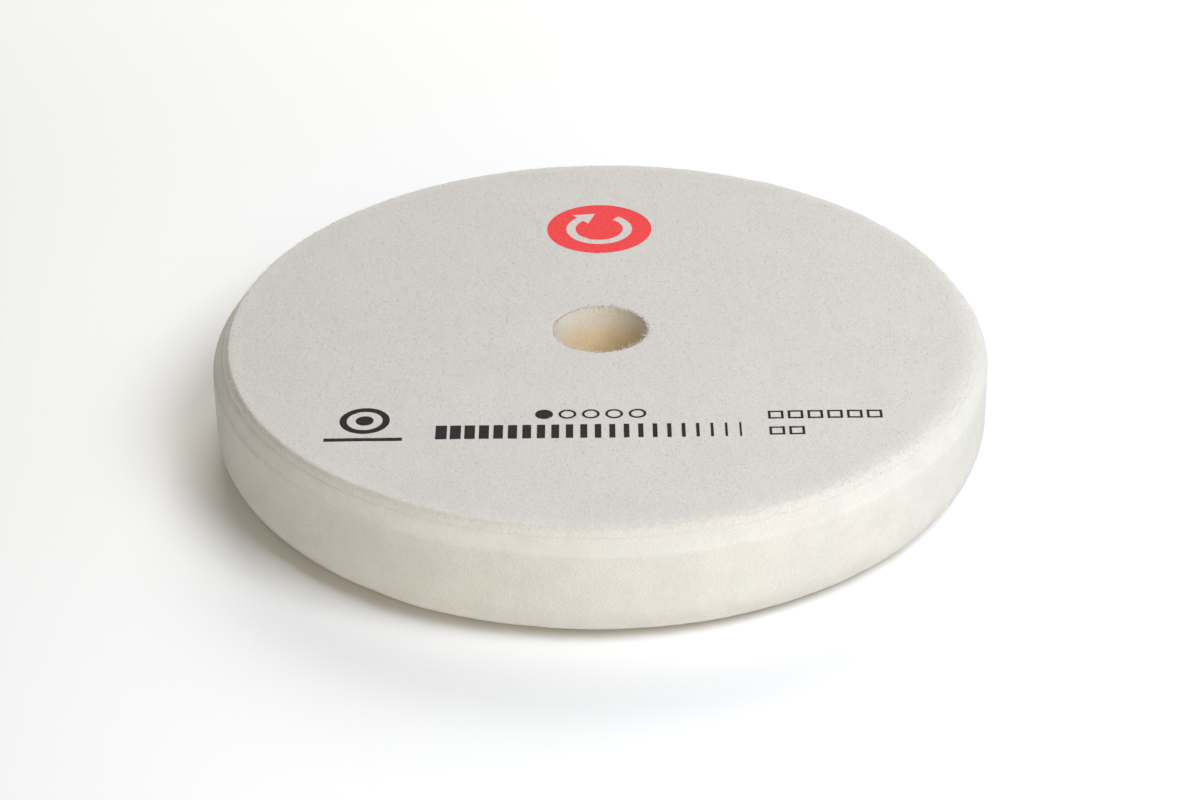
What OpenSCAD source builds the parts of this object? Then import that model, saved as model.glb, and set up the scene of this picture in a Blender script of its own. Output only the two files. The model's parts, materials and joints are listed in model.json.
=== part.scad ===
// Foam polishing pad for a rotary machine, with a loop fabric backing.
// The pad lies on its working face: the middle of that face is the origin, and +Z points up
// through the centre hole to the loop face that sticks to the machine's backing plate.
// All sizes are in millimetres.

/* [Pad] */
// Diameter of the loop backing
backing_d = 130; // [75:1:200]
// How far the foam stands out past the backing, all round
foam_overhang = 2.5; // [1:0.25:6]
// Thickness of the foam
foam_h = 19.5; // [16:0.5:40]
// Diameter of the centre hole, cut through every layer
hole_d = 16.5; // [8:0.5:25]

/* [Foam edge] */
// Height of the straight lip of foam right under the backing
lip_h = 0.5; // [0.3:0.1:2]
// Height over which the edge flares out from the lip to its widest
flare_h = 2; // [1:0.1:4]
// Radius of the rounded edge round the working face
lower_edge_r = 7; // [2:0.5:9]

/* [Backing layers] */
// Thickness of the melted glue film between foam and fabric
film_t = 0.15; // [0.05:0.05:0.5]
// Thickness of the loop fabric, with its pile
fabric_t = 1.35; // [0.8:0.05:3]
// Radius that the cut softens the fabric's outer edge to
fabric_edge_r = 0.4; // [0.1:0.05:0.6]

/* [Print] */
// How far the ink soaks into the pile
ink_t = 0.15; // [0.05:0.05:0.3]
// Bare fabric left between the print and the backing's edge
print_margin = 4.5; // [3:0.5:8]

/* [Hidden] */
$fn = 120;

backing_r = backing_d / 2;
widest_r = backing_r + foam_overhang;
hole_r = hole_d / 2;
film_z = foam_h;
fabric_z = film_z + film_t;
pad_h = fabric_z + fabric_t;
ink_z = pad_h - ink_t;
// Segments in each rounded stretch of an outline
arc_steps = 14;
// A cut passes this far beyond the face that it opens through.
cut_past = 1;

// The artwork is drawn for a printed radius of art_r and is scaled to fit the backing.
art_r = 60.5;
art_scale = (backing_r - print_margin) / art_r;
function art(mm) = mm * art_scale;

// Red turning mark: a disc with a ring arrow left unprinted
turn_mark_y = art(38);
turn_mark_r = art(9.6);
arrow_r = art(5.2);
arrow_w = art(1.7);
arrow_sweep = 285;
arrow_head_w = art(4.6);
arrow_head_l = art(3.6);
// The head starts this far inside the ring's end, so that the two join.
arrow_root = art(0.2);
// Turn that puts the arrow's open gap at the top
arrow_turn = 130;

// Dark pad sign: a ring and a dot over a bar
sign_x = art(-39.5);
sign_y = art(-30.9);
sign_r = art(4.2);
sign_w = art(1.2);
sign_dot_r = art(1.5);
sign_bar_l = art(13);
sign_bar_w = art(1);
sign_bar_y = art(-37);

// Dark grade dots: the first is filled, the others are rings
grade_x = art(-1.8);
grade_y = art(-29.4);
grade_count = 5;
grade_pitch = art(3.9);
grade_r = art(1.5);
grade_w = art(0.45);

// Dark scale of bars, from coarse to fine
bars_x = art(-1.8);
bars_y = art(-35);
bars_l = art(52);
bars_h = art(4.4);
bars_count = 22;
bar_widest = art(1.9);
bar_finest = art(0.35);

// Dark tick boxes, in two rows
box_x = art(27.4);
box_y = [art(-30.4), art(-35.6)];
box_counts = [6, 2];
box_pitch = art(3.3);
box_size = art(2.6);
box_w = art(0.45);

function arc(centre, r, from, to) =
    [for (i = [0:arc_steps]) let (a = from + (to - from) * i / arc_steps)
        [centre[0] + r * cos(a), centre[1] + r * sin(a)]];

// The flare is a smooth double curve: hollow under the lip, then full where it is widest.
function flare() =
    [for (i = [0:arc_steps]) let (t = i / arc_steps)
        [widest_r - foam_overhang * (1 - cos(180 * t)) / 2, foam_h - lip_h - flare_h * (1 - t)]];

function foam_outline() = concat(
    [[hole_r, 0]],
    arc([widest_r - lower_edge_r, lower_edge_r], lower_edge_r, -90, 0),
    flare(),
    [[backing_r, foam_h], [hole_r, foam_h]]
);

function fabric_outline() = concat(
    [[hole_r, 0], [backing_r, 0]],
    arc([backing_r - fabric_edge_r, fabric_t - fabric_edge_r], fabric_edge_r, 0, 90),
    [[hole_r, fabric_t]]
);

// A flat ring, h thick, w wide, with its outside at radius r
module ring(r, w, h) {
    difference() {
        cylinder(r = r, h = h);
        translate([0, 0, -cut_past]) cylinder(r = r - w, h = h + 2 * cut_past);
    }
}

// A flat bar, centred on its own origin
module bar(l, w, h) {
    translate([-l / 2, -w / 2, 0]) cube([l, w, h]);
}

// The ring arrow points clockwise as seen from the loop face, the way that the pad turns.
module ring_arrow(h) {
    rotate_extrude(angle = arrow_sweep) translate([arrow_r - arrow_w / 2, 0]) square([arrow_w, h]);
    translate([arrow_r, arrow_root, 0]) linear_extrude(h)
        polygon([[arrow_head_w / 2, 0], [-arrow_head_w / 2, 0], [0, -arrow_head_l]]);
}

module turn_shape(h) {
    translate([0, turn_mark_y, 0]) difference() {
        cylinder(r = turn_mark_r, h = h);
        translate([0, 0, -cut_past]) rotate(arrow_turn) ring_arrow(h + 2 * cut_past);
    }
}

module sign_shape(h) {
    translate([sign_x, sign_y, 0]) {
        ring(sign_r, sign_w, h);
        cylinder(r = sign_dot_r, h = h);
    }
    translate([sign_x, sign_bar_y, 0]) bar(sign_bar_l, sign_bar_w, h);
}

module grade_shape(h) {
    for (i = [0:grade_count - 1])
        translate([grade_x + (i - (grade_count - 1) / 2) * grade_pitch, grade_y, 0])
            if (i == 0) cylinder(r = grade_r, h = h);
            else ring(grade_r, grade_w, h);
}

module scale_shape(h) {
    pitch = bars_l / bars_count;
    for (i = [0:bars_count - 1]) {
        w = bar_widest + (bar_finest - bar_widest) * i / (bars_count - 1);
        translate([bars_x + (i - (bars_count - 1) / 2) * pitch, bars_y, 0]) bar(w, bars_h, h);
    }
}

module boxes_shape(h) {
    for (row = [0:len(box_counts) - 1], i = [0:box_counts[row] - 1])
        translate([box_x + (i + 0.5) * box_pitch, box_y[row], 0]) difference() {
            bar(box_size, box_size, h);
            translate([0, 0, -cut_past])
                bar(box_size - 2 * box_w, box_size - 2 * box_w, h + 2 * cut_past);
        }
}

module foam_body() {
    color("ivory") rotate_extrude() polygon(foam_outline());
}

module glue_film() {
    color("gainsboro") translate([0, 0, film_z]) ring(backing_r, backing_r - hole_r, film_t);
}

// The ink fills the top of the pile, so the fabric is cut away where it lies.
module loop_backing() {
    color("lightgray") difference() {
        translate([0, 0, fabric_z]) rotate_extrude() polygon(fabric_outline());
        translate([0, 0, ink_z]) {
            turn_shape(ink_t + cut_past);
            sign_shape(ink_t + cut_past);
            grade_shape(ink_t + cut_past);
            scale_shape(ink_t + cut_past);
            boxes_shape(ink_t + cut_past);
        }
    }
}

module turn_mark() {
    color("indianred") translate([0, 0, ink_z]) turn_shape(ink_t);
}

module pad_sign() {
    color("dimgray") translate([0, 0, ink_z]) sign_shape(ink_t);
}

module grade_dots() {
    color("dimgray") translate([0, 0, ink_z]) grade_shape(ink_t);
}

module bar_scale() {
    color("dimgray") translate([0, 0, ink_z]) scale_shape(ink_t);
}

module tick_boxes() {
    color("dimgray") translate([0, 0, ink_z]) boxes_shape(ink_t);
}

foam_body();
glue_film();
loop_backing();
turn_mark();
pad_sign();
grade_dots();
bar_scale();
tick_boxes();
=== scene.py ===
import json
import math
import random

import bpy
from bpy.props import FloatProperty, FloatVectorProperty, IntProperty, PointerProperty
from mathutils import Matrix, Vector


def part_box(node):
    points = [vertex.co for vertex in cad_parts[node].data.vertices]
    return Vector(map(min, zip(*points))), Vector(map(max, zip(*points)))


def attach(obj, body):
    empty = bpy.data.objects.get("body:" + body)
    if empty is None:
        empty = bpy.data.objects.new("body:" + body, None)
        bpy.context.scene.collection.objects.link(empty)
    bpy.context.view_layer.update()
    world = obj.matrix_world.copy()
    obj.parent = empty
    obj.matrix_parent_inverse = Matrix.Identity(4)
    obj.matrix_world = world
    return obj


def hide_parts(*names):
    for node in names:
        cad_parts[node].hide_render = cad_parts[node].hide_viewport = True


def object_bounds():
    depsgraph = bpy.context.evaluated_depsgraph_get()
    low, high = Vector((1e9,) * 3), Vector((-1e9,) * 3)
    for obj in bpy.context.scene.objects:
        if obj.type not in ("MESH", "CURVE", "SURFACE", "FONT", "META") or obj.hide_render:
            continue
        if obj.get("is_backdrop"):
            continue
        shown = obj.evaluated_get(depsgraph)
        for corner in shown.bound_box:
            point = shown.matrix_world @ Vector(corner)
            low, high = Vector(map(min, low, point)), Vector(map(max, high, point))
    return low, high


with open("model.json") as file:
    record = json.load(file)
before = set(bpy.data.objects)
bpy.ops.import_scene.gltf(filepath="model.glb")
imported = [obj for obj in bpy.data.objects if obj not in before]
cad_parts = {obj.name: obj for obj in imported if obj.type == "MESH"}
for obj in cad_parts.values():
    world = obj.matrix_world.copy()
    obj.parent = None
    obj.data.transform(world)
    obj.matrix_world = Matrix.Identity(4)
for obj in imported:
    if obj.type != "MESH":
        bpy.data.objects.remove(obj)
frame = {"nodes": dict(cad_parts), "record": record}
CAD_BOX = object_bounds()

bl_info = {
    "name": "Foam Polishing Pad",
    "version": (1, 0, 0),
    "blender": (4, 5, 0),
    "location": "3D View > Sidebar > Polishing Pad",
    "description": "Models the foam, the loop backing, the print and the loose fibres of a polishing pad",
    "category": "Object",
}

MM = 0.001
BODY = "root"
# Points closer than this are one point.
WELD = 0.002 * MM
# Edges sharper than this stay sharp.
CREASE = math.radians(40)
# Faces that meet at less than this lie in one plane.
FLAT = math.radians(1)
# Most of a noise pattern's values lie between these.
NOISE_LOW, NOISE_HIGH = 0.3, 0.7

FOAM_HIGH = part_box("foam_body")[1]
CLOTH_LOW, CLOTH_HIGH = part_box("loop_backing")
MOUNTS = {mount["name"]: mount for mount in frame["record"]["mounts"]}
HOLE_RADIUS = MOUNTS["centre_hole"]["dims"]["r_mm"] * MM

# Each studio light: azimuth and elevation in degrees, distance and size in metres, power in watts, colour
SOFTBOXES = {
    "key": (-40, 55, 0.7, 0.4, 2.99, (0.90, 0.94, 1.0)),
    "front": (-90, 22, 0.8, 0.45, 2.15, (1.0, 0.894, 0.694)),
    "back": (90, 35, 0.8, 0.45, 3.78, (1.0, 0.985, 0.94)),
    "back_left": (135, 30, 0.8, 0.45, 0.48, (1.0, 0.935, 0.82)),
    "near_front_right": (-45, 45, 0.35, 0.2, 0.29, (0.853, 0.90, 1.0)),
    "near_back_right": (30, 40, 0.35, 0.2, 0.13, (0.957, 0.975, 1.0)),
}

# Each printed mark's CAD node, and the ink that it is printed in
MARKS = {
    "turn_mark": "red_ink",
    "pad_sign": "dark_ink",
    "grade_dots": "dark_ink",
    "bar_scale": "dark_ink",
    "tick_boxes": "dark_ink",
}


def length(name, description, millimetres, smallest=0.0):
    """A size that the sidebar shows as a length."""
    return FloatProperty(
        name=name, description=description, default=millimetres * MM, min=smallest * MM,
        unit="LENGTH", precision=5,
    )


def colour(name, description, default):
    """A colour that the sidebar shows as a swatch."""
    return FloatVectorProperty(
        name=name, description=description, default=default, size=3, min=0.0, max=1.0,
        subtype="COLOR",
    )


class FoamSettings(bpy.types.PropertyGroup):
    """Sizes and colours of the foam body."""

    widest_radius: length("Widest radius", "Radius where the foam is widest", FOAM_HIGH.x / MM)
    lip_radius: length("Lip radius", "Radius right under the backing", CLOTH_HIGH.x / MM + 0.7)
    height: length("Height", "Thickness of the foam", FOAM_HIGH.z / MM)
    hole_radius: length("Hole radius", "Radius of the centre hole", HOLE_RADIUS / MM)
    lip_height: length("Lip height", "Height of the lip under the backing", 0.05)
    flare_height: length("Flare height", "Height over which the edge flares out to its widest", 2.8)
    edge_radius: length("Edge radius", "Radius of the rounded edge round the working face", 7.0)
    hole_edge_radius: length("Hole edge radius", "Radius of the hole's lower edge", 0.8)
    mesh_size: length("Mesh size", "Spacing of the points down the side", 0.45, 0.1)
    face_mesh_size: length("Face mesh size", "Spacing of the points across the working face", 1.5, 0.1)
    steps: IntProperty(name="Steps", description="Points round the edge", default=830, min=60)
    colour: colour("Foam", "Colour of the foam's skin", (0.748, 0.719, 0.668))
    cool_colour: colour("Cool foam", "Colour of the skin's greyer patches", (0.741, 0.722, 0.673))
    core_colour: colour("Core", "Colour of the cut foam at the mouth of the hole", (0.79, 0.75, 0.675))
    # Painted shade: the hole's wall takes this darker, yellower colour towards its foot, in place of the
    # shade down in the hole.
    deep_shade_colour: colour("Deep core", "Colour of the cut foam down in the hole", (0.82, 0.68, 0.46))


class BackingSettings(bpy.types.PropertyGroup):
    """Sizes and colours of the loop fabric and its print."""

    outer_radius: length("Outer radius", "Radius of the fabric", CLOTH_HIGH.x / MM)
    hole_radius: length("Hole radius", "Radius of the hole in the fabric", HOLE_RADIUS / MM)
    low: length("Underside", "Height of the fabric's underside", CLOTH_LOW.z / MM)
    high: length("Top", "Height of the top of the pile", CLOTH_HIGH.z / MM)
    edge_radius: length("Edge radius", "How softly the fabric rolls over at its edges", 0.5)
    skirt: length("Skirt", "How far the cut edges dip into the foam", 0.2)
    flare: length("Flare", "How much wider the fabric is at the foot of its edge", 0.7)
    sag: length("Sag", "How far the top falls away at the outer edge", 0.2)
    sag_width: length("Sag width", "Width of the band that falls away", 2.5)
    mesh_size: length("Mesh size", "Spacing of the points across the fabric", 0.52, 0.1)
    steps: IntProperty(name="Steps", description="Points round the edge", default=720, min=60)
    pile_relief: length("Pile relief", "Height of the tufts in the pile", 0.07)
    ink_lift: length("Ink lift", "How far the ink stands above the fabric", 0.03)
    ink_depth: length("Ink depth", "How far the ink goes down into the pile", 0.12)
    ink_mesh_size: length("Ink mesh size", "Spacing of the points across the print", 0.5, 0.1)
    colour: colour("Fabric", "Colour of the loop fabric", (0.63, 0.603, 0.570))
    red: colour("Red ink", "Colour of the turning mark", (0.83, 0.066, 0.07))
    dark: colour("Dark ink", "Colour of the other marks", (0.022, 0.023, 0.022))
    fleck: colour("Fleck", "Colour of the stray dark loops", (0.12, 0.10, 0.09))
    glue: colour("Glue", "Colour of the glue film's edge", (0.72, 0.695, 0.645))


class FibreSettings(bpy.types.PropertyGroup):
    """Sizes and numbers of the loose fibres."""

    thickness: length("Thickness", "Thickness of a fibre at the outer edge", 0.07, 0.01)
    hole_thickness: length("Hole thickness", "Thickness of a fibre at the hole", 0.2, 0.01)
    shortest: length("Shortest", "Length of the shortest fibre", 0.35)
    longest: length("Longest", "Length of the longest fibre", 0.8)
    rim_count: IntProperty(name="Rim", description="Fibres round the outer edge", default=1300, min=0)
    hole_count: IntProperty(name="Hole", description="Fibres round the hole", default=190, min=0)
    seed: IntProperty(name="Seed", description="Seed of the fibres' places", default=7, min=0)
    tip_length: length("Tip length", "Length of the longest tips in the pile", 0.55)
    tip_width: length("Tip width", "Width of a tip at its foot", 0.09, 0.01)
    tip_density: FloatProperty(
        name="Tip density", description="Tips on each square millimetre of the pile",
        default=1.5, min=0.0,
    )
    colour: colour("Fibre", "Colour of a loose fibre", (0.67, 0.645, 0.612))


class StageSettings(bpy.types.PropertyGroup):
    """The floor, the lights and the camera."""

    floor_size: length("Floor size", "Width of the floor", 8000)
    floor_drop: length("Floor drop", "How far the floor lies below the pad", 0.05)
    floor_colour: colour("Floor", "Colour of the floor", (0.97, 0.97, 0.97))
    wall_colour: colour("Wall", "Colour of the wall behind the floor", (0.9, 0.9, 0.9))
    glow_start: length("Glow start", "Distance at which the far floor begins to glow", 300)
    glow_end: length("Glow end", "Distance at which the far floor glows in full", 1000)
    glow: FloatProperty(
        name="Glow", description="Strength of the far floor's glow", default=0.85, min=0.0,
    )
    camera_distance: length("Camera distance", "From the camera to what it aims at", 608.15)
    camera_elevation: FloatProperty(
        name="Camera elevation", description="Angle of the camera above the floor",
        default=math.radians(30.088), subtype="ANGLE",
    )
    camera_roll: FloatProperty(
        name="Camera roll", description="Turn of the camera about its own line of sight",
        default=math.radians(-0.679), subtype="ANGLE",
    )
    camera_lens: FloatProperty(
        name="Camera lens", description="Focal length in millimetres on a 36 mm sensor",
        default=103.335,
    )
    camera_aim: FloatVectorProperty(
        name="Camera aim", description="Point that the camera aims at", size=3,
        default=(-0.237 * MM, 0.0, 6.614 * MM), subtype="TRANSLATION",
    )


# Modelling helpers


def deselect():
    """Leaves edit mode and deselects everything."""
    if bpy.context.object and bpy.context.object.mode != "OBJECT":
        bpy.ops.object.mode_set(mode="OBJECT")
    bpy.ops.object.select_all(action="DESELECT")


def activate(piece):
    """Makes a piece the only selected object."""
    deselect()
    piece.select_set(True)
    bpy.context.view_layer.objects.active = piece


def arc(centre, radius, start, end, spacing):
    """Points of an arc in a section, from start to end in degrees."""
    count = max(3, round(abs(math.radians(end - start)) * radius / spacing))
    angles = [math.radians(start + (end - start) * i / count) for i in range(count + 1)]
    return [(centre[0] + radius * math.cos(a), centre[1] + radius * math.sin(a)) for a in angles]


def walk(start, end, spacing):
    """Points of a straight stretch in a section, its last point left out."""
    count = max(1, round(math.dist(start, end) / spacing))
    return [
        tuple(a + (b - a) * i / count for a, b in zip(start, end))
        for i in range(count)
    ]


def turn_section(name, outline, steps):
    """A ring-shaped solid: a closed section of (radius, height) points, drawn and turned about Z."""
    deselect()
    first = outline[0]
    bpy.ops.mesh.primitive_plane_add(size=MM, location=(first[0], 0, first[1]))
    piece = bpy.context.object
    piece.name = piece.data.name = name
    bpy.ops.object.mode_set(mode="EDIT")
    bpy.ops.mesh.merge(type="CENTER")
    for here, there in zip(outline, outline[1:] + outline[:1]):
        stride = (there[0] - here[0], 0, there[1] - here[1])
        bpy.ops.mesh.extrude_region_move(TRANSFORM_OT_translate={"value": stride})
    bpy.ops.mesh.select_all(action="SELECT")
    bpy.ops.mesh.remove_doubles(threshold=WELD)
    bpy.ops.object.mode_set(mode="OBJECT")
    bpy.ops.object.transform_apply(location=True, rotation=True, scale=True)
    lathe = piece.modifiers.new("lathe", "SCREW")
    lathe.axis = "Z"
    lathe.angle = math.tau
    lathe.steps = lathe.render_steps = steps
    lathe.use_merge_vertices = True
    lathe.merge_threshold = WELD
    bpy.ops.object.modifier_apply(modifier="lathe")
    bpy.ops.object.mode_set(mode="EDIT")
    bpy.ops.mesh.select_all(action="SELECT")
    bpy.ops.mesh.normals_make_consistent(inside=False)
    bpy.ops.object.mode_set(mode="OBJECT")
    bpy.ops.object.shade_smooth_by_angle(angle=CREASE)
    return piece


def weigh(piece, name, rule):
    """A vertex group whose weights come from a rule on each point's place."""
    group = piece.vertex_groups.new(name=name)
    for vertex in piece.data.vertices:
        weight = rule(vertex.co)
        if weight > 0:
            group.add([vertex.index], weight, "REPLACE")


def from_axis(place):
    """A point's distance from the pad's axis."""
    return math.hypot(place.x, place.y)


def ramp(value, low, high):
    """0 below low, 1 above high, and a smooth rise between them."""
    t = min(max((value - low) / (high - low), 0.0), 1.0)
    return t * t * (3 - 2 * t)


def roughen(piece, name, size, depth, group="", direction="NORMAL", detail=1):
    """Moves a piece's surface in and out, by depth in all, in a cloudy pattern of that size."""
    clouds = bpy.data.textures.new(name, "CLOUDS")
    clouds.noise_scale = size
    clouds.noise_depth = detail
    push = piece.modifiers.new(name, "DISPLACE")
    push.texture = clouds
    push.texture_coords = "LOCAL"
    push.direction = direction
    push.mid_level = 0.5
    push.strength = depth
    push.vertex_group = group
    activate(piece)
    bpy.ops.object.modifier_apply(modifier=name)


def relieve(piece, settings, group=""):
    """The relief of the pile, the same wherever it is applied, so that the ink follows the fabric."""
    roughen(piece, "tufts", 0.8 * MM, settings.pile_relief, group, "Z")
    roughen(piece, "dents", 9 * MM, 0.12 * MM, group, "Z")


def make_tip(reach, width):
    """The tip of one loop: a thin three-sided blade that leans over as it narrows to a point."""
    deselect()
    bpy.ops.mesh.primitive_circle_add(vertices=3, radius=width / 2, fill_type="NGON")
    tip = bpy.context.object
    bpy.ops.object.mode_set(mode="EDIT")
    bpy.ops.mesh.select_all(action="SELECT")
    to_knee = (0.3 * reach, 0, 0.35 * reach)
    to_point = (0.5 * reach, 0, 0.1 * reach)
    bpy.ops.mesh.extrude_region_move(TRANSFORM_OT_translate={"value": to_knee})
    bpy.ops.transform.resize(value=(0.8, 0.8, 0.8))
    bpy.ops.mesh.extrude_region_move(TRANSFORM_OT_translate={"value": to_point})
    bpy.ops.mesh.merge(type="CENTER")
    bpy.ops.mesh.select_all(action="SELECT")
    bpy.ops.mesh.normals_make_consistent(inside=False)
    bpy.ops.object.mode_set(mode="OBJECT")
    return tip


def add_node(group, kind, inputs=None, output=None, **settings):
    """Adds a geometry node and fills its inputs. Returns the output so named, or its first one."""
    node = group.nodes.new(kind)
    for key, value in settings.items():
        setattr(node, key, value)
    for name, value in (inputs or {}).items():
        socket = next(socket for socket in node.inputs if socket.name == name and socket.enabled)
        if isinstance(value, bpy.types.NodeSocket):
            group.links.new(value, socket)
        else:
            socket.default_value = value
    usable = [socket for socket in node.outputs if socket.enabled and output in (None, socket.name)]
    return usable[0] if usable else None


def clear_points(group, pieces, distance):
    """True for the points that lie further than a distance from all the pieces."""
    others = add_node(group, "GeometryNodeJoinGeometry")
    for piece in pieces:
        shape = add_node(group, "GeometryNodeObjectInfo", {"Object": piece}, "Geometry")
        group.links.new(shape, others.node.inputs["Geometry"])
    gap = add_node(group, "GeometryNodeProximity", {"Geometry": others}, "Distance")
    return add_node(group, "FunctionNodeCompare", {"A": gap, "B": distance}, operation="GREATER_THAN")


def scatter_group(tip, density, clear_of, clearance, seed):
    """A geometry group that stands copies of a tip on a piece's upward faces, clear of other pieces."""
    least_upward = 0.3
    lean = math.radians(25)
    smallest = 0.6
    group = bpy.data.node_groups.new("scatter", "GeometryNodeTree")
    for flow in ("INPUT", "OUTPUT"):
        group.interface.new_socket("Geometry", in_out=flow, socket_type="NodeSocketGeometry")
    source = add_node(group, "NodeGroupInput")
    normal = add_node(group, "GeometryNodeInputNormal")
    rise = add_node(group, "ShaderNodeSeparateXYZ", {"Vector": normal}, "Z")
    upward = add_node(
        group, "FunctionNodeCompare", {"A": rise, "B": least_upward}, operation="GREATER_THAN",
    )
    points = add_node(
        group, "GeometryNodeDistributePointsOnFaces",
        {"Mesh": source, "Selection": upward, "Density": density, "Seed": seed}, "Points",
    )
    turn = add_node(
        group, "FunctionNodeRandomValue",
        {"Min": (-lean, -lean, 0), "Max": (lean, lean, math.tau), "Seed": seed},
        data_type="FLOAT_VECTOR",
    )
    turn = add_node(group, "FunctionNodeEulerToRotation", {"Euler": turn})
    turn = add_node(
        group, "FunctionNodeRotateRotation",
        {"Rotation": points.node.outputs["Rotation"], "Rotate By": turn}, rotation_space="LOCAL",
    )
    scale = add_node(
        group, "FunctionNodeRandomValue", {"Min": smallest, "Max": 1.0, "Seed": seed}, data_type="FLOAT",
    )
    copies = add_node(
        group, "GeometryNodeInstanceOnPoints",
        {
            "Points": points,
            "Selection": clear_points(group, clear_of, clearance),
            "Instance": add_node(group, "GeometryNodeObjectInfo", {"Object": tip}, "Geometry"),
            "Rotation": turn,
            "Scale": scale,
        },
    )
    mesh = add_node(group, "GeometryNodeRealizeInstances", {"Geometry": copies})
    add_node(group, "NodeGroupOutput", {"Geometry": mesh})
    return group


# Materials


class Surface:
    """A material under construction, with its patterns laid in the piece's own space."""

    def __init__(self, name, roughness, **sockets):
        self.material = bpy.data.materials.new(name)
        self.material.use_nodes = True
        self.tree = self.material.node_tree
        self.shader = self.tree.nodes["Principled BSDF"]
        self.shader.inputs["Roughness"].default_value = roughness
        for socket, value in sockets.items():
            self.shader.inputs[socket.replace("_", " ")].default_value = value
        self.place = self.node("ShaderNodeTexCoord").outputs["Object"]

    def node(self, kind, **settings):
        """A new node with its properties set."""
        node = self.tree.nodes.new(kind)
        for key, value in settings.items():
            setattr(node, key, value)
        return node

    def link(self, source, socket):
        """Joins an output to an input."""
        self.tree.links.new(source, socket)

    def stretched(self, x=1.0, y=1.0, z=1.0):
        """The piece's space, drawn out along its axes."""
        mapping = self.node("ShaderNodeMapping")
        mapping.inputs["Scale"].default_value = (x, y, z)
        self.link(self.place, mapping.inputs["Vector"])
        return mapping.outputs["Vector"]

    def noise(self, size, detail=2.0, roughness=0.55, place=None):
        """A noise pattern whose lumps are about that size."""
        noise = self.node("ShaderNodeTexNoise")
        noise.inputs["Scale"].default_value = 1 / size
        noise.inputs["Detail"].default_value = detail
        noise.inputs["Roughness"].default_value = roughness
        self.link(place or self.place, noise.inputs["Vector"])
        return noise.outputs["Fac"]

    def cells(self, size):
        """Distance from the middle of each cell, in a pattern of cells about that size."""
        cells = self.node("ShaderNodeTexVoronoi")
        cells.inputs["Scale"].default_value = 1 / size
        self.link(self.place, cells.inputs["Vector"])
        return cells.outputs["Distance"]

    def between(self, value, low, high, out_low=0.0, out_high=1.0):
        """A value spread from low and high to new limits, and held there."""
        spread = self.node("ShaderNodeMapRange", interpolation_type="SMOOTHSTEP")
        limits = {"From Min": low, "From Max": high, "To Min": out_low, "To Max": out_high}
        for socket, number in limits.items():
            spread.inputs[socket].default_value = number
        self.link(value, spread.inputs["Value"])
        return spread.outputs["Result"]

    def vary(self, pattern, low, high):
        """A pattern's values spread over new limits."""
        return self.between(pattern, NOISE_LOW, NOISE_HIGH, low, high)

    def larger(self, first, second):
        """The larger of two values."""
        node = self.node("ShaderNodeMath", operation="MAXIMUM")
        self.link(first, node.inputs[0])
        self.link(second, node.inputs[1])
        return node.outputs["Value"]

    def mix(self, amount, first, second, blend="MIX"):
        """Two colours mixed by an amount."""
        node = self.node("ShaderNodeMix", data_type="RGBA", blend_type=blend)
        sockets = [socket for socket in node.inputs if socket.enabled]
        for socket, value in zip(sockets, (amount, first, second)):
            if isinstance(value, bpy.types.NodeSocket):
                self.link(value, socket)
            elif socket.type == "RGBA":
                socket.default_value = (*value, 1.0)
            else:
                socket.default_value = value
        return next(socket for socket in node.outputs if socket.enabled)

    def shade(self, colour, pattern, low, high):
        """A colour darkened and lightened by a pattern."""
        grey = self.node("ShaderNodeCombineColor")
        level = self.vary(pattern, low, high)
        for channel in ("Red", "Green", "Blue"):
            self.link(level, grey.inputs[channel])
        return self.mix(1.0, colour, grey.outputs["Color"], "MULTIPLY")

    def radius(self):
        """Distance from the pad's axis."""
        flat = self.stretched(z=0.0)
        measure = self.node("ShaderNodeVectorMath", operation="LENGTH")
        self.link(flat, measure.inputs[0])
        return measure.outputs["Value"]

    def near_hole(self, full, none):
        """1 within one distance of the hole's wall, and 0 beyond another."""
        return self.between(self.radius(), HOLE_RADIUS + full, HOLE_RADIUS + none, 1.0, 0.0)

    def height(self):
        """Height above the working face."""
        parts = self.node("ShaderNodeSeparateXYZ")
        self.link(self.place, parts.inputs["Vector"])
        return parts.outputs["Z"]

    def bump(self, value, distance, strength, after=None):
        """Relief too fine for the mesh."""
        bump = self.node("ShaderNodeBump")
        bump.inputs["Distance"].default_value = distance
        bump.inputs["Strength"].default_value = strength
        self.link(value, bump.inputs["Height"])
        if after is not None:
            self.link(after, bump.inputs["Normal"])
        return bump.outputs["Normal"]

    def finish(self, colour, normal, roughness=None):
        """Feeds the shader and returns the material."""
        self.link(colour, self.shader.inputs["Base Color"])
        self.link(normal, self.shader.inputs["Normal"])
        if roughness is not None:
            self.link(roughness, self.shader.inputs["Roughness"])
        return self.material


def wear(piece, material, slot):
    """Gives a piece its material. The slot is not used."""
    piece.data.materials.clear()
    piece.data.materials.append(material)


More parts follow.
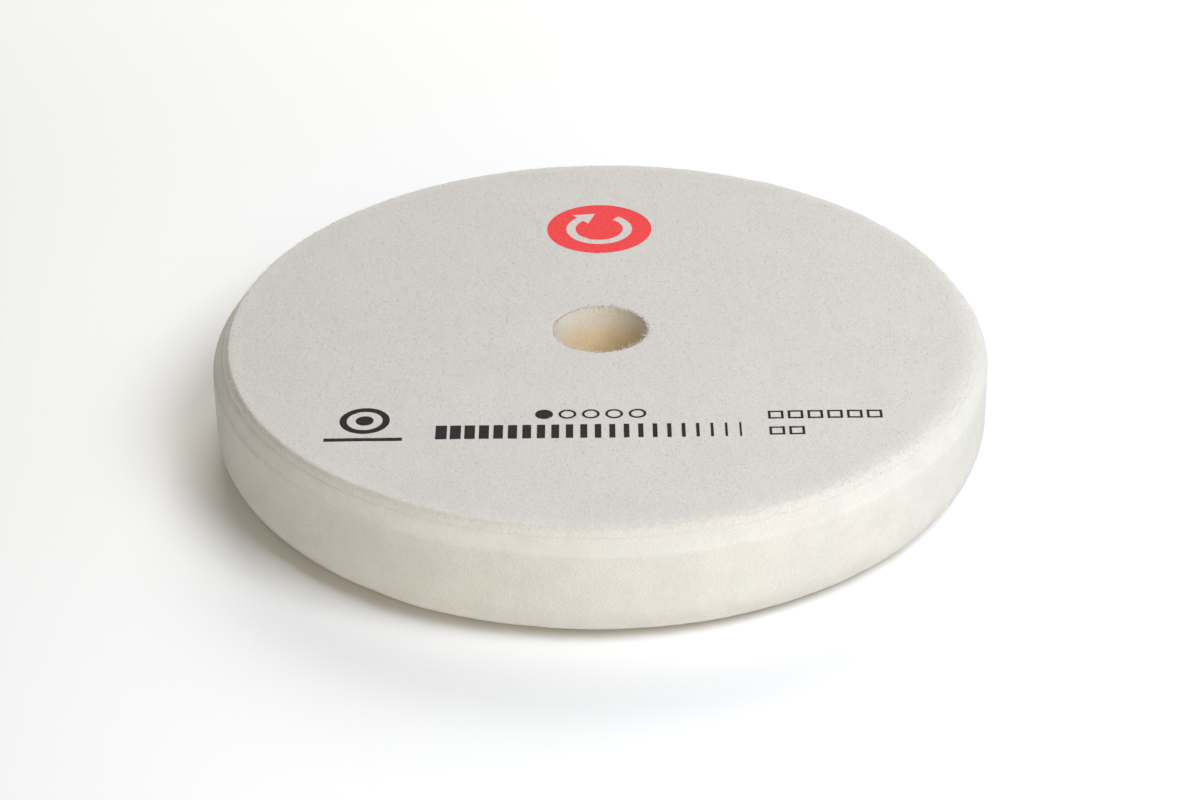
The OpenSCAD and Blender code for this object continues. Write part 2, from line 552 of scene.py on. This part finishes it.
def foam_material(settings):
    """Open-celled foam: fine pores, faint mottling, a yellower core round the hole, and painted shade
    that darkens and yellows the hole's wall further down.
    """
    foam = Surface("open_cell_foam", 0.95, Subsurface_Weight=0.12, Subsurface_Scale=0.003)
    foam.shader.inputs["Subsurface Radius"].default_value = (1.0, 1.0, 1.0)
    foam.shader.inputs["Specular IOR Level"].default_value = 0.2
    pores = foam.between(foam.cells(0.42 * MM), 0.15, 0.6)
    fine = foam.noise(0.25 * MM, 3.0)
    mottle = foam.noise(5 * MM, 4.0, 0.6)
    core = foam.near_hole(0.6 * MM, 3 * MM)
    # Painted shade: 1 from 5.5 mm below the top downwards and 0 at the top, so the hole's wall darkens
    # and yellows further down.
    depth = foam.between(foam.height(), settings.height - 5.5 * MM, settings.height, 1.0, 0.0)
    patches = foam.between(foam.noise(9 * MM, 2.0), 0.42, 0.58)
    skin = foam.mix(patches, settings.colour, settings.cool_colour)
    base = foam.mix(core, skin, foam.mix(depth, settings.core_colour, settings.deep_shade_colour))
    base = foam.shade(base, mottle, 0.965, 1.02)
    base = foam.shade(base, fine, 0.965, 1.03)
    base = foam.shade(base, pores, 1.02, 0.97)
    normal = foam.bump(pores, 0.10 * MM, 0.3)
    normal = foam.bump(fine, 0.08 * MM, 0.35, normal)
    return foam.finish(base, normal, foam.vary(mottle, 0.9, 1.0))


def pile_patterns(surface):
    """The pile's fine grain and its tufts, which the ink shares with the fabric."""
    return surface.noise(0.28 * MM, 3.0, 0.6), surface.noise(0.7 * MM, 2.0)


def velour_material(settings, foam):
    """Brushed loops: fine grain, a faint nap, a few dark flecks, and foam that shows at the edges."""
    velour = Surface("brushed_loops", 0.95, Sheen_Weight=0.25, Sheen_Roughness=0.4)
    velour.shader.inputs["Specular IOR Level"].default_value = 0.15
    grain, tufts = pile_patterns(velour)
    nap = velour.noise(1.2 * MM, 2.0, place=velour.stretched(y=0.35))
    cloud = velour.noise(14 * MM, 3.0)
    top, outer = settings.high, settings.outer_radius
    thin = velour.between(velour.height(), top - 0.5 * MM, top - 0.12 * MM, 0.85, 0.0)
    rim = velour.between(velour.radius(), outer - 3.5 * MM, outer, 0.0, 0.4)
    bare = velour.larger(thin, rim)
    under = velour.mix(velour.near_hole(2 * MM, 4 * MM), foam.colour, foam.core_colour)
    base = velour.mix(bare, settings.colour, under)
    base = velour.shade(base, grain, 0.92, 1.055)
    base = velour.shade(base, tufts, 0.97, 1.02)
    base = velour.shade(base, nap, 0.985, 1.01)
    base = velour.shade(base, cloud, 0.985, 1.01)
    flecks = velour.between(velour.cells(9 * MM), 0.008, 0.016, 0.55, 0.0)
    base = velour.mix(flecks, base, settings.fleck)
    normal = velour.bump(grain, 0.12 * MM, 0.5)
    normal = velour.bump(tufts, 0.15 * MM, 0.5, normal)
    return velour.finish(base, normal, velour.vary(tufts, 0.9, 1.0))


def ink_material(name, ink, fabric):
    """Ink in the top of the pile, with a little of the fabric's colour coming through."""
    mark = Surface(name, 0.85)
    mark.shader.inputs["Specular IOR Level"].default_value = 0.12
    grain, tufts = pile_patterns(mark)
    bare = mark.between(grain, 0.66, 0.80, 0.0, 0.45)
    base = mark.mix(bare, ink, fabric)
    base = mark.shade(base, tufts, 0.92, 1.06)
    normal = mark.bump(grain, 0.10 * MM, 0.4)
    return mark.finish(base, normal, mark.vary(grain, 0.8, 0.95))


def glue_material(settings, foam):
    """The edge of a melted film: milky, with soft streaks, and yellower in the hole, as the foam is."""
    glue = Surface("melted_glue", 0.6)
    streaks = glue.noise(1.5 * MM, 2.0)
    film = glue.mix(glue.near_hole(2 * MM, 4 * MM), settings.glue, foam.core_colour)
    base = glue.shade(film, streaks, 0.95, 1.03)
    normal = glue.bump(streaks, 0.05 * MM, 0.4)
    return glue.finish(base, normal, glue.vary(streaks, 0.35, 0.6))


def fibre_material(settings):
    """A loose fibre, a little darker and lighter here and there."""
    fibre = Surface("loose_fibre", 0.8, Sheen_Weight=0.3)
    drift = fibre.noise(0.6 * MM, 1.0)
    base = fibre.shade(settings.colour, drift, 0.88, 1.10)
    normal = fibre.bump(drift, 0.01 * MM, 0.3)
    return fibre.finish(base, normal)


# Pieces


def foam_outline(size):
    """The foam's section, from the foot of the hole, out along the working face and back up."""
    hole, wide, lip, top = size.hole_radius, size.widest_radius, size.lip_radius, size.height
    edge, foot = size.edge_radius, size.hole_edge_radius
    flare_top = top - size.lip_height
    flare_low = flare_top - size.flare_height
    # The flare slopes, so it takes more points than its height alone would.
    flare_count = round(size.flare_height * 1.7 / size.mesh_size)
    outline = arc((hole + foot, foot), foot, 180, 270, size.mesh_size)
    outline += walk((hole + foot, 0), (wide - edge, 0), size.face_mesh_size)[1:]
    outline += arc((wide - edge, edge), edge, -90, 0, size.mesh_size)
    outline += walk((wide, edge), (wide, flare_low), size.mesh_size)[1:]
    for i in range(flare_count + 1):
        t = i / flare_count
        # Upright where it leaves the side, and still closing in where it meets the lip
        swing = (3 - math.cos(math.pi * t) - 2 * math.cos(math.pi * t / 2)) / 4
        outline.append((wide - (wide - lip) * swing, flare_low + size.flare_height * t))
    outline.append((lip, top))
    outline += walk((lip, top), (hole, top), 10 * size.face_mesh_size)[1:]
    outline += walk((hole, top), (hole, foot), 2 * size.mesh_size)
    return outline


def make_foam(size):
    """The foam body, with the slightly uneven skin of cut foam."""

    def outside(place):
        """The side of the pad, fading out at the flare, at the foot and towards the hole."""
        side = ramp(from_axis(place), size.lip_radius - 7 * MM, size.lip_radius - MM)
        below_flare = ramp(size.height - place.z, 0.0, size.lip_height + size.flare_height)
        return side * below_flare * ramp(place.z, 0.0, 2 * MM)

    def skin(place):
        """All but the two flat faces."""
        return ramp(size.height - place.z, 0.0, 1.5 * MM) * ramp(place.z, 0.0, 0.6 * MM)

    foam = turn_section("foam_pad", foam_outline(size), size.steps)
    weigh(foam, "outside", outside)
    weigh(foam, "skin", skin)
    roughen(foam, "waves", 22 * MM, 0.5 * MM, "outside")
    roughen(foam, "lumps", 3.5 * MM, 0.10 * MM, "skin", detail=2)
    roughen(foam, "grain", 1.1 * MM, 0.05 * MM, "skin")
    return foam


def backing_outline(size):
    """The fabric's section, from its inner lower corner, out, up and back across the face."""
    hole, rim, edge = size.hole_radius, size.outer_radius, size.edge_radius
    low, high = size.low, size.high
    foot = low - size.skirt
    under_hole, under_rim = (hole + MM, low), (rim - MM, low)
    outline = [(hole, foot)]
    outline += walk(under_hole, under_rim, 20 * size.mesh_size)
    outline += [under_rim]
    outline += walk((rim + size.flare, foot), (rim, high - edge), size.mesh_size)
    outline += arc((rim - edge, high - edge), edge, 0, 90, size.mesh_size / 3)
    outline += walk((rim - edge, high), (hole + edge, high), size.mesh_size)[1:]
    outline += arc((hole + edge, high - edge), edge, 90, 180, size.mesh_size / 3)

    def settle(point):
        """The point, lowered where the top falls away towards the rim."""
        radius, height = point
        out = max(0.0, 1 - (rim - radius) / size.sag_width)
        return radius, height - size.sag * out * out * ramp(height, low, high - edge)

    return [settle(point) for point in outline]


def make_backing(size):
    """The loop fabric, laid on the foam, with the tufts of its pile."""

    def from_rim(place):
        """How far a point lies inside the outer edge."""
        return size.outer_radius - from_axis(place)

    def from_hole(place):
        """How far a point lies from the hole."""
        return from_axis(place) - size.hole_radius

    def face(place):
        """The top, and less and less of the cut edges below it."""
        return ramp(place.z, size.low, size.high - 0.3 * MM)

    def rims(place):
        """The two cut edges, fading out at their feet."""
        middle = ramp(from_rim(place), 0.2 * MM, 1.5 * MM) * ramp(from_hole(place), 0.2 * MM, MM)
        return ramp(place.z, size.low, size.high - size.edge_radius) * (1.0 - middle)

    def mouth(place):
        """The top edge of the hole."""
        near = 1.0 - ramp(from_hole(place), 0.2 * MM, 0.8 * MM)
        return near * ramp(place.z, size.high - 0.7 * MM, size.high - 0.2 * MM)

    fabric = turn_section("loop_fabric", backing_outline(size), size.steps)
    weigh(fabric, "face", face)
    weigh(fabric, "rims", rims)
    roughen(fabric, "cut_edge", 5 * MM, 0.12 * MM, "rims")
    roughen(fabric, "fray", 0.9 * MM, 0.10 * MM, "rims")
    weigh(fabric, "mouth", mouth)
    roughen(fabric, "cut_loops", 0.55 * MM, 0.3 * MM, "mouth", detail=2)
    relieve(fabric, size, "face")
    return fabric


def make_mark(node, size):
    """One mark's ink: a copy of its outline, cut into small faces and bent to the pile's relief."""
    source = frame["nodes"][node]
    ink = bpy.data.objects.new(node + "_ink", source.data.copy())
    bpy.context.collection.objects.link(ink)
    low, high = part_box(node)
    activate(ink)
    bpy.ops.object.mode_set(mode="EDIT")
    bpy.ops.mesh.select_mode(type="FACE")
    bpy.ops.mesh.select_all(action="SELECT")
    bpy.ops.mesh.remove_doubles(threshold=WELD)
    bpy.ops.mesh.select_all(action="DESELECT")
    bpy.ops.object.mode_set(mode="OBJECT")
    for face in ink.data.polygons:
        face.select = face.normal.z < 0.5
    bpy.ops.object.mode_set(mode="EDIT")
    bpy.ops.mesh.delete(type="FACE")
    bpy.ops.mesh.select_all(action="SELECT")
    bpy.ops.mesh.dissolve_limited(angle_limit=FLAT)
    for axis in (0, 1):
        normal = Vector((0, 0, 0))
        normal[axis] = 1
        cuts = math.floor((high[axis] - low[axis]) / size.ink_mesh_size)
        for i in range(1, cuts + 1):
            bpy.ops.mesh.select_all(action="SELECT")
            spot = low + normal * size.ink_mesh_size * i
            bpy.ops.mesh.bisect(plane_co=spot, plane_no=normal)
    bpy.ops.mesh.select_all(action="SELECT")
    bpy.ops.transform.translate(value=(0, 0, size.high + size.ink_lift - high.z))
    bpy.ops.object.mode_set(mode="OBJECT")
    body = ink.modifiers.new("ink_body", "SOLIDIFY")
    body.thickness = size.ink_lift + size.ink_depth
    body.offset = -1
    bpy.ops.object.modifier_apply(modifier="ink_body")
    relieve(ink, size)
    bpy.ops.object.shade_smooth_by_angle(angle=CREASE)
    return ink


def fibre_piece(name, roots, thickness, settings, rng):
    """Loose fibres as one mesh: each grows from its root along its lean, and curls as it goes."""
    stretches = 3
    curve = bpy.data.curves.new(name, "CURVE")
    curve.dimensions = "3D"
    curve.bevel_depth = thickness / 2
    curve.bevel_resolution = 0
    curve.use_fill_caps = True
    for root, lean in roots:
        reach = rng.uniform(settings.shortest, settings.longest)
        curl = Vector((rng.uniform(-1, 1), rng.uniform(-1, 1), rng.uniform(-0.6, 0.6)))
        strand = curve.splines.new("POLY")
        strand.points.add(stretches)
        for i, point in enumerate(strand.points):
            t = i / stretches
            spot = root + reach * (lean * t + curl * 0.45 * t * t)
            point.co = (*spot, 1.0)
            point.radius = 1.0 - 0.6 * t
    piece = bpy.data.objects.new(name, curve)
    bpy.context.collection.objects.link(piece)
    activate(piece)
    bpy.ops.object.convert(target="MESH")
    return bpy.context.object


def make_nap(fabric, settings, clear_of):
    """The tips of the pile, as one mesh that stands on the fabric and leaves the print clear."""
    tip = make_tip(settings.tip_length, settings.tip_width)
    nap = bpy.data.objects.new("nap", fabric.data.copy())
    bpy.context.collection.objects.link(nap)
    activate(nap)
    scatter = nap.modifiers.new("scatter", "NODES")
    scatter.node_group = scatter_group(
        tip, settings.tip_density / MM ** 2, clear_of, settings.tip_width, settings.seed,
    )
    bpy.ops.object.modifier_apply(modifier="scatter")
    bpy.data.objects.remove(tip)
    return nap


def ring_roots(count, radius, height, outward, rise, rng):
    """Roots and leans of fibres round a circle. A lean is the way a fibre goes for each unit of reach."""
    for i in range(count):
        angle = math.tau * (i + rng.random()) / count
        along = Vector((math.cos(angle), math.sin(angle), 0))
        side = Vector((-along.y, along.x, 0))
        lean = along * outward * rng.uniform(0.3, 0.9) + side * rng.uniform(-0.5, 0.5)
        lean.z = rng.uniform(*rise)
        root = along * (radius - outward * rng.uniform(0.0, 0.3) * MM)
        root.z = height - rng.uniform(0.1, 0.35) * MM
        yield root, lean


def softbox(name, azimuth, elevation, distance, size, power, tint):
    """A square studio light that faces the pad. Azimuth 0 is to the right and -90 is in front."""
    turn, rise = math.radians(azimuth), math.radians(elevation)
    flat = distance * math.cos(rise)
    place = Vector((flat * math.cos(turn), flat * math.sin(turn), distance * math.sin(rise)))
    bpy.ops.object.light_add(type="AREA", location=place)
    light = bpy.context.object
    light.name = name
    light.rotation_euler = (-place).to_track_quat("-Z", "Y").to_euler()
    light.data.shape = "SQUARE"
    light.data.size = size
    light.data.energy = power
    light.data.color = tint
    light.visible_camera = False


def make_floor(settings):
    """The floor, whose far part glows, so that it meets the wall with no dark horizon."""
    deselect()
    bpy.ops.mesh.primitive_plane_add(size=settings.floor_size, location=(0, 0, -settings.floor_drop))
    floor = bpy.context.object
    floor.name = "floor"
    paint = Surface("floor_paint", 0.9)
    drift = paint.noise(0.4, 2.0)
    base = paint.shade(settings.floor_colour, drift, 0.995, 1.005)
    paint.finish(base, paint.bump(drift, 0.1 * MM, 0.1))
    glow = paint.between(paint.radius(), settings.glow_start, settings.glow_end, 0.0, settings.glow)
    paint.link(glow, paint.shader.inputs["Emission Strength"])
    floor.data.materials.append(paint.material)
    return floor


def make_world(colour):
    """A pale studio wall all round, which is seen but sheds no light on the pad."""
    world = bpy.data.worlds.new("studio")
    world.use_nodes = True
    tree = world.node_tree
    wall = tree.nodes["Background"]
    wall.inputs["Color"].default_value = (*colour, 1.0)
    path = tree.nodes.new("ShaderNodeLightPath")
    tree.links.new(path.outputs["Is Camera Ray"], wall.inputs["Strength"])
    return world


def make_camera(settings):
    """The camera, looking along +Y and down at what it aims at."""
    bpy.ops.object.camera_add()
    camera = bpy.context.object
    tilt = Matrix.Rotation(math.pi / 2 - settings.camera_elevation, 4, "X")
    roll = Matrix.Rotation(settings.camera_roll, 4, "Z")
    back = Matrix.Translation((0, 0, settings.camera_distance))
    camera.matrix_world = Matrix.Translation(settings.camera_aim) @ tilt @ roll @ back
    camera.data.lens = settings.camera_lens
    return camera


# Operators


class PAD_OT_make_foam(bpy.types.Operator):
    """Model the foam body"""

    bl_idname = "pad.make_foam"
    bl_label = "Foam Body"

    def execute(self, context):
        settings = context.scene.pad_foam
        foam = make_foam(settings)
        wear(foam, foam_material(settings), "foam")
        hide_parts("foam_body")
        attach(foam, BODY)
        return {"FINISHED"}


class PAD_OT_finish_glue(bpy.types.Operator):
    """Give the glue film its finish"""

    bl_idname = "pad.finish_glue"
    bl_label = "Glue Film"

    def execute(self, context):
        film = frame["nodes"]["glue_film"]
        material = glue_material(context.scene.pad_backing, context.scene.pad_foam)
        for slot in film.material_slots:
            slot.material = material
        return {"FINISHED"}


class PAD_OT_make_backing(bpy.types.Operator):
    """Model the loop fabric"""

    bl_idname = "pad.make_backing"
    bl_label = "Loop Backing"

    def execute(self, context):
        settings = context.scene.pad_backing
        fabric = make_backing(settings)
        wear(fabric, velour_material(settings, context.scene.pad_foam), "loop_fabric")
        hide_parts("loop_backing")
        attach(fabric, BODY)
        return {"FINISHED"}


class PAD_OT_make_print(bpy.types.Operator):
    """Model the printed marks"""

    bl_idname = "pad.make_print"
    bl_label = "Printed Marks"

    def execute(self, context):
        settings = context.scene.pad_backing
        inks = {
            "red_ink": ink_material("red_ink", settings.red, settings.colour),
            "dark_ink": ink_material("dark_ink", settings.dark, settings.colour),
        }
        for node, slot in MARKS.items():
            mark = make_mark(node, settings)
            wear(mark, inks[slot], slot)
            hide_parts(node)
            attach(mark, BODY)
        return {"FINISHED"}


class PAD_OT_make_fibres(bpy.types.Operator):
    """Model the loose fibres at the fabric's edges and the tips of its pile"""

    bl_idname = "pad.make_fibres"
    bl_label = "Loose Fibres"

    def execute(self, context):
        backing = context.scene.pad_backing
        settings = context.scene.pad_fibres
        rng = random.Random(settings.seed)
        material = fibre_material(settings)
        places = {
            "rim_fibres": (
                settings.rim_count, settings.thickness,
                backing.outer_radius, backing.high - backing.sag, 1, (-0.3, 0.2),
            ),
            "hole_fibres": (
                settings.hole_count, settings.hole_thickness,
                backing.hole_radius, backing.high, -1, (0.3, 0.9),
            ),
        }
        for name, (count, thickness, *ring) in places.items():
            roots = ring_roots(count, *ring, rng)
            piece = fibre_piece(name, roots, thickness, settings, rng)
            wear(piece, material, "loop_fabric")
            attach(piece, BODY)
        fabric = bpy.data.objects["loop_fabric"]
        marks = [bpy.data.objects[node + "_ink"] for node in MARKS]
        nap = make_nap(fabric, settings, marks)
        wear(nap, material, "loop_fabric")
        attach(nap, BODY)
        return {"FINISHED"}


class PAD_OT_make_stage(bpy.types.Operator):
    """Set up the floor, the lights and the camera"""

    bl_idname = "pad.make_stage"
    bl_label = "Stage"

    def execute(self, context):
        settings = context.scene.pad_stage
        floor = make_floor(settings)
        floor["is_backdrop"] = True
        for name, setting in SOFTBOXES.items():
            softbox(name, *setting)
        context.scene.world = make_world(settings.wall_colour)
        context.scene.view_settings.view_transform = "Standard"
        context.scene.camera = make_camera(settings)
        return {"FINISHED"}


class PAD_PT_sidebar(bpy.types.Panel):
    """The pad's settings, and a button for each of its pieces"""

    bl_idname = "PAD_PT_sidebar"
    bl_label = "Polishing Pad"
    bl_space_type = "VIEW_3D"
    bl_region_type = "UI"
    bl_category = "Polishing Pad"

    def draw(self, context):
        for operator in OPERATORS:
            self.layout.operator(operator.bl_idname)
        for name in SETTINGS:
            box = self.layout.box()
            settings = getattr(context.scene, name)
            for key in settings.__annotations__:
                box.prop(settings, key)


SETTINGS = {
    "pad_foam": FoamSettings,
    "pad_backing": BackingSettings,
    "pad_fibres": FibreSettings,
    "pad_stage": StageSettings,
}
OPERATORS = [
    PAD_OT_make_foam,
    PAD_OT_finish_glue,
    PAD_OT_make_backing,
    PAD_OT_make_print,
    PAD_OT_make_fibres,
    PAD_OT_make_stage,
]


def register():
    for kind in (*SETTINGS.values(), *OPERATORS, PAD_PT_sidebar):
        bpy.utils.register_class(kind)
    for name, kind in SETTINGS.items():
        setattr(bpy.types.Scene, name, PointerProperty(type=kind))


def unregister():
    for name in SETTINGS:
        delattr(bpy.types.Scene, name)
    for kind in reversed((*SETTINGS.values(), *OPERATORS, PAD_PT_sidebar)):
        bpy.utils.unregister_class(kind)


def main():
    """Makes every piece in order."""
    register()
    bpy.ops.pad.make_foam()
    bpy.ops.pad.finish_glue()
    bpy.ops.pad.make_backing()
    bpy.ops.pad.make_print()
    bpy.ops.pad.make_fibres()
    bpy.ops.pad.make_stage()
    boxes = {"cad": CAD_BOX, "visual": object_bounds()}
    {name: [list(corner) for corner in box] for name, box in boxes.items()}


if __name__ == "__main__":
    main()
